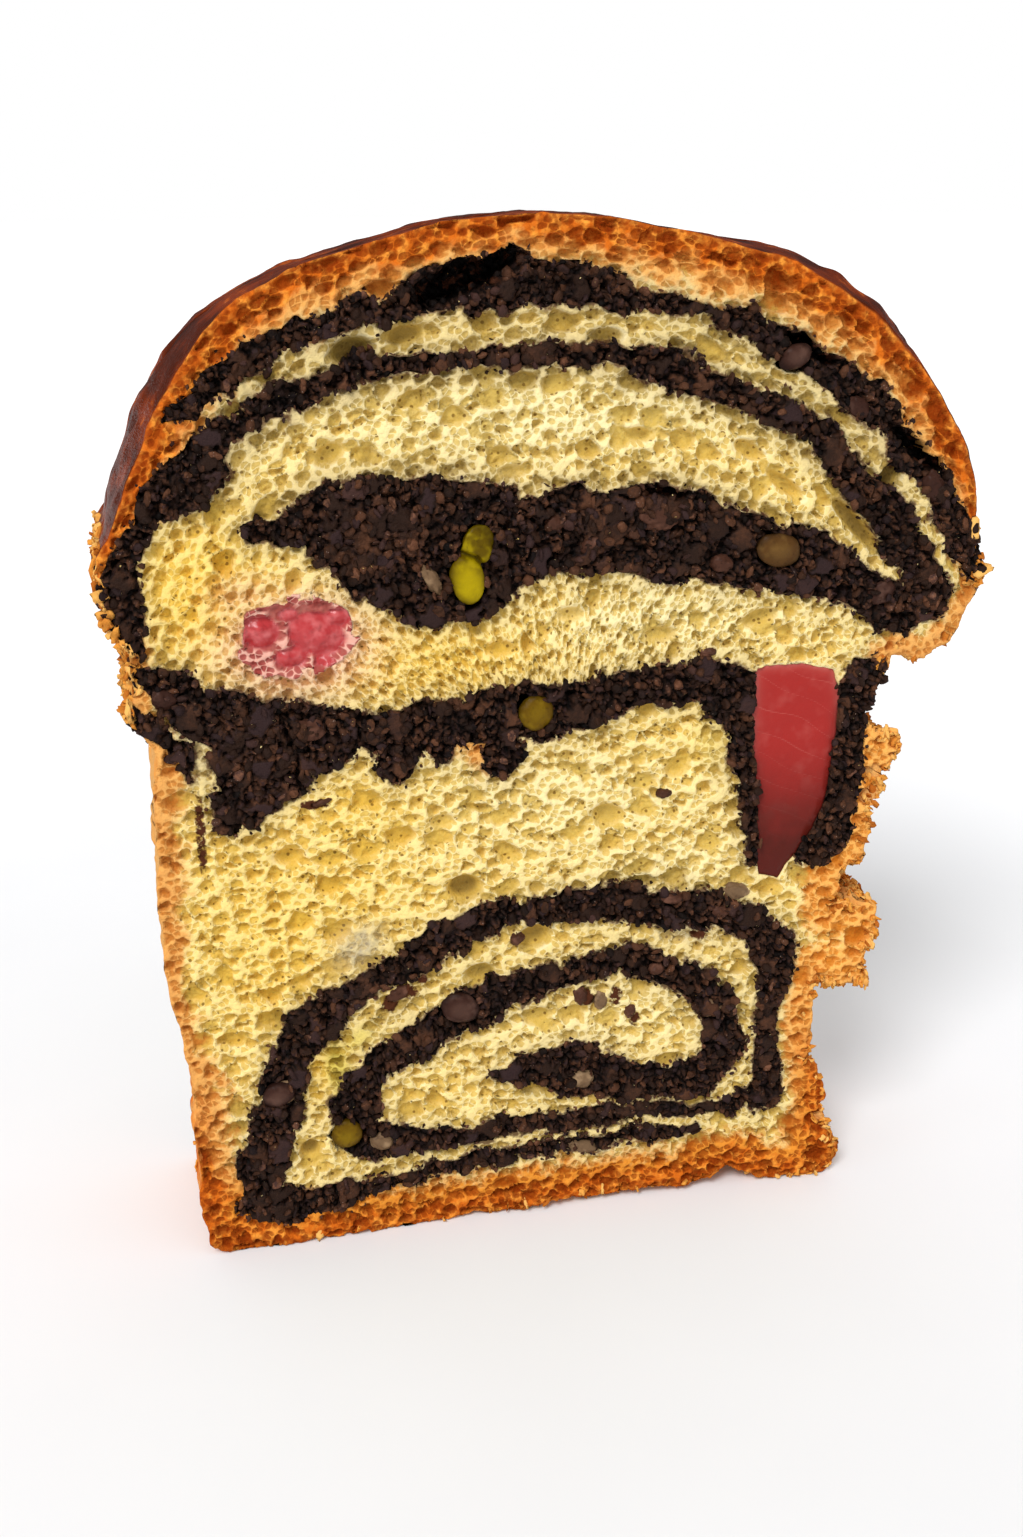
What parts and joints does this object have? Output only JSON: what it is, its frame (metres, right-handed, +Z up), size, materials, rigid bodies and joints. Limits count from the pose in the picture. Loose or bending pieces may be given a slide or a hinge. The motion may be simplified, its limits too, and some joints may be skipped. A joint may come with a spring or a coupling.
{
  "type": "walnut cocoa sweet bread slice",
  "caption": "Upright cut slice of a domed sweet loaf: yellow crumb and brown crust rolled round dark cocoa walnut filling, with rosy jellied sweets, green nuts and dried fruit at the cut.",
  "frame": {"origin": "on the surface that the slice stands on, under the middle of its bounding box", "axes": "+Z up through the dome, +X to the right along the front cut face, +Y into the depth of the slice"},
  "size_m": [0.1149, 0.026, 0.1369],
  "materials": {
    "crumb": "open porous crumb with a browned, glossy crust",
    "cocoa": "coarse dark paste with nut grains",
    "sweet": "smooth soft jelly",
    "pistachio": "satin cut nut",
    "raisin": "wrinkled satin skin",
    "sultana": "smooth moist skin"
  },
  "bodies": {
    "root": {"upper_dough": "crumb", "lower_dough": "crumb", "cocoa_top": "cocoa", "cocoa_fold": "cocoa", "cocoa_middle": "cocoa", "cocoa_streak": "cocoa", "cocoa_right": "cocoa", "cocoa_spiral": "cocoa", "delight_right": "sweet", "delight_left": "sweet", "pistachio_split": "pistachio", "pistachio_middle": "pistachio", "pistachio_lower": "pistachio", "sultana": "sultana", "raisin_upper": "raisin", "raisin_inner": "raisin", "raisin_left": "raisin"}
  },
  "joints": []
}
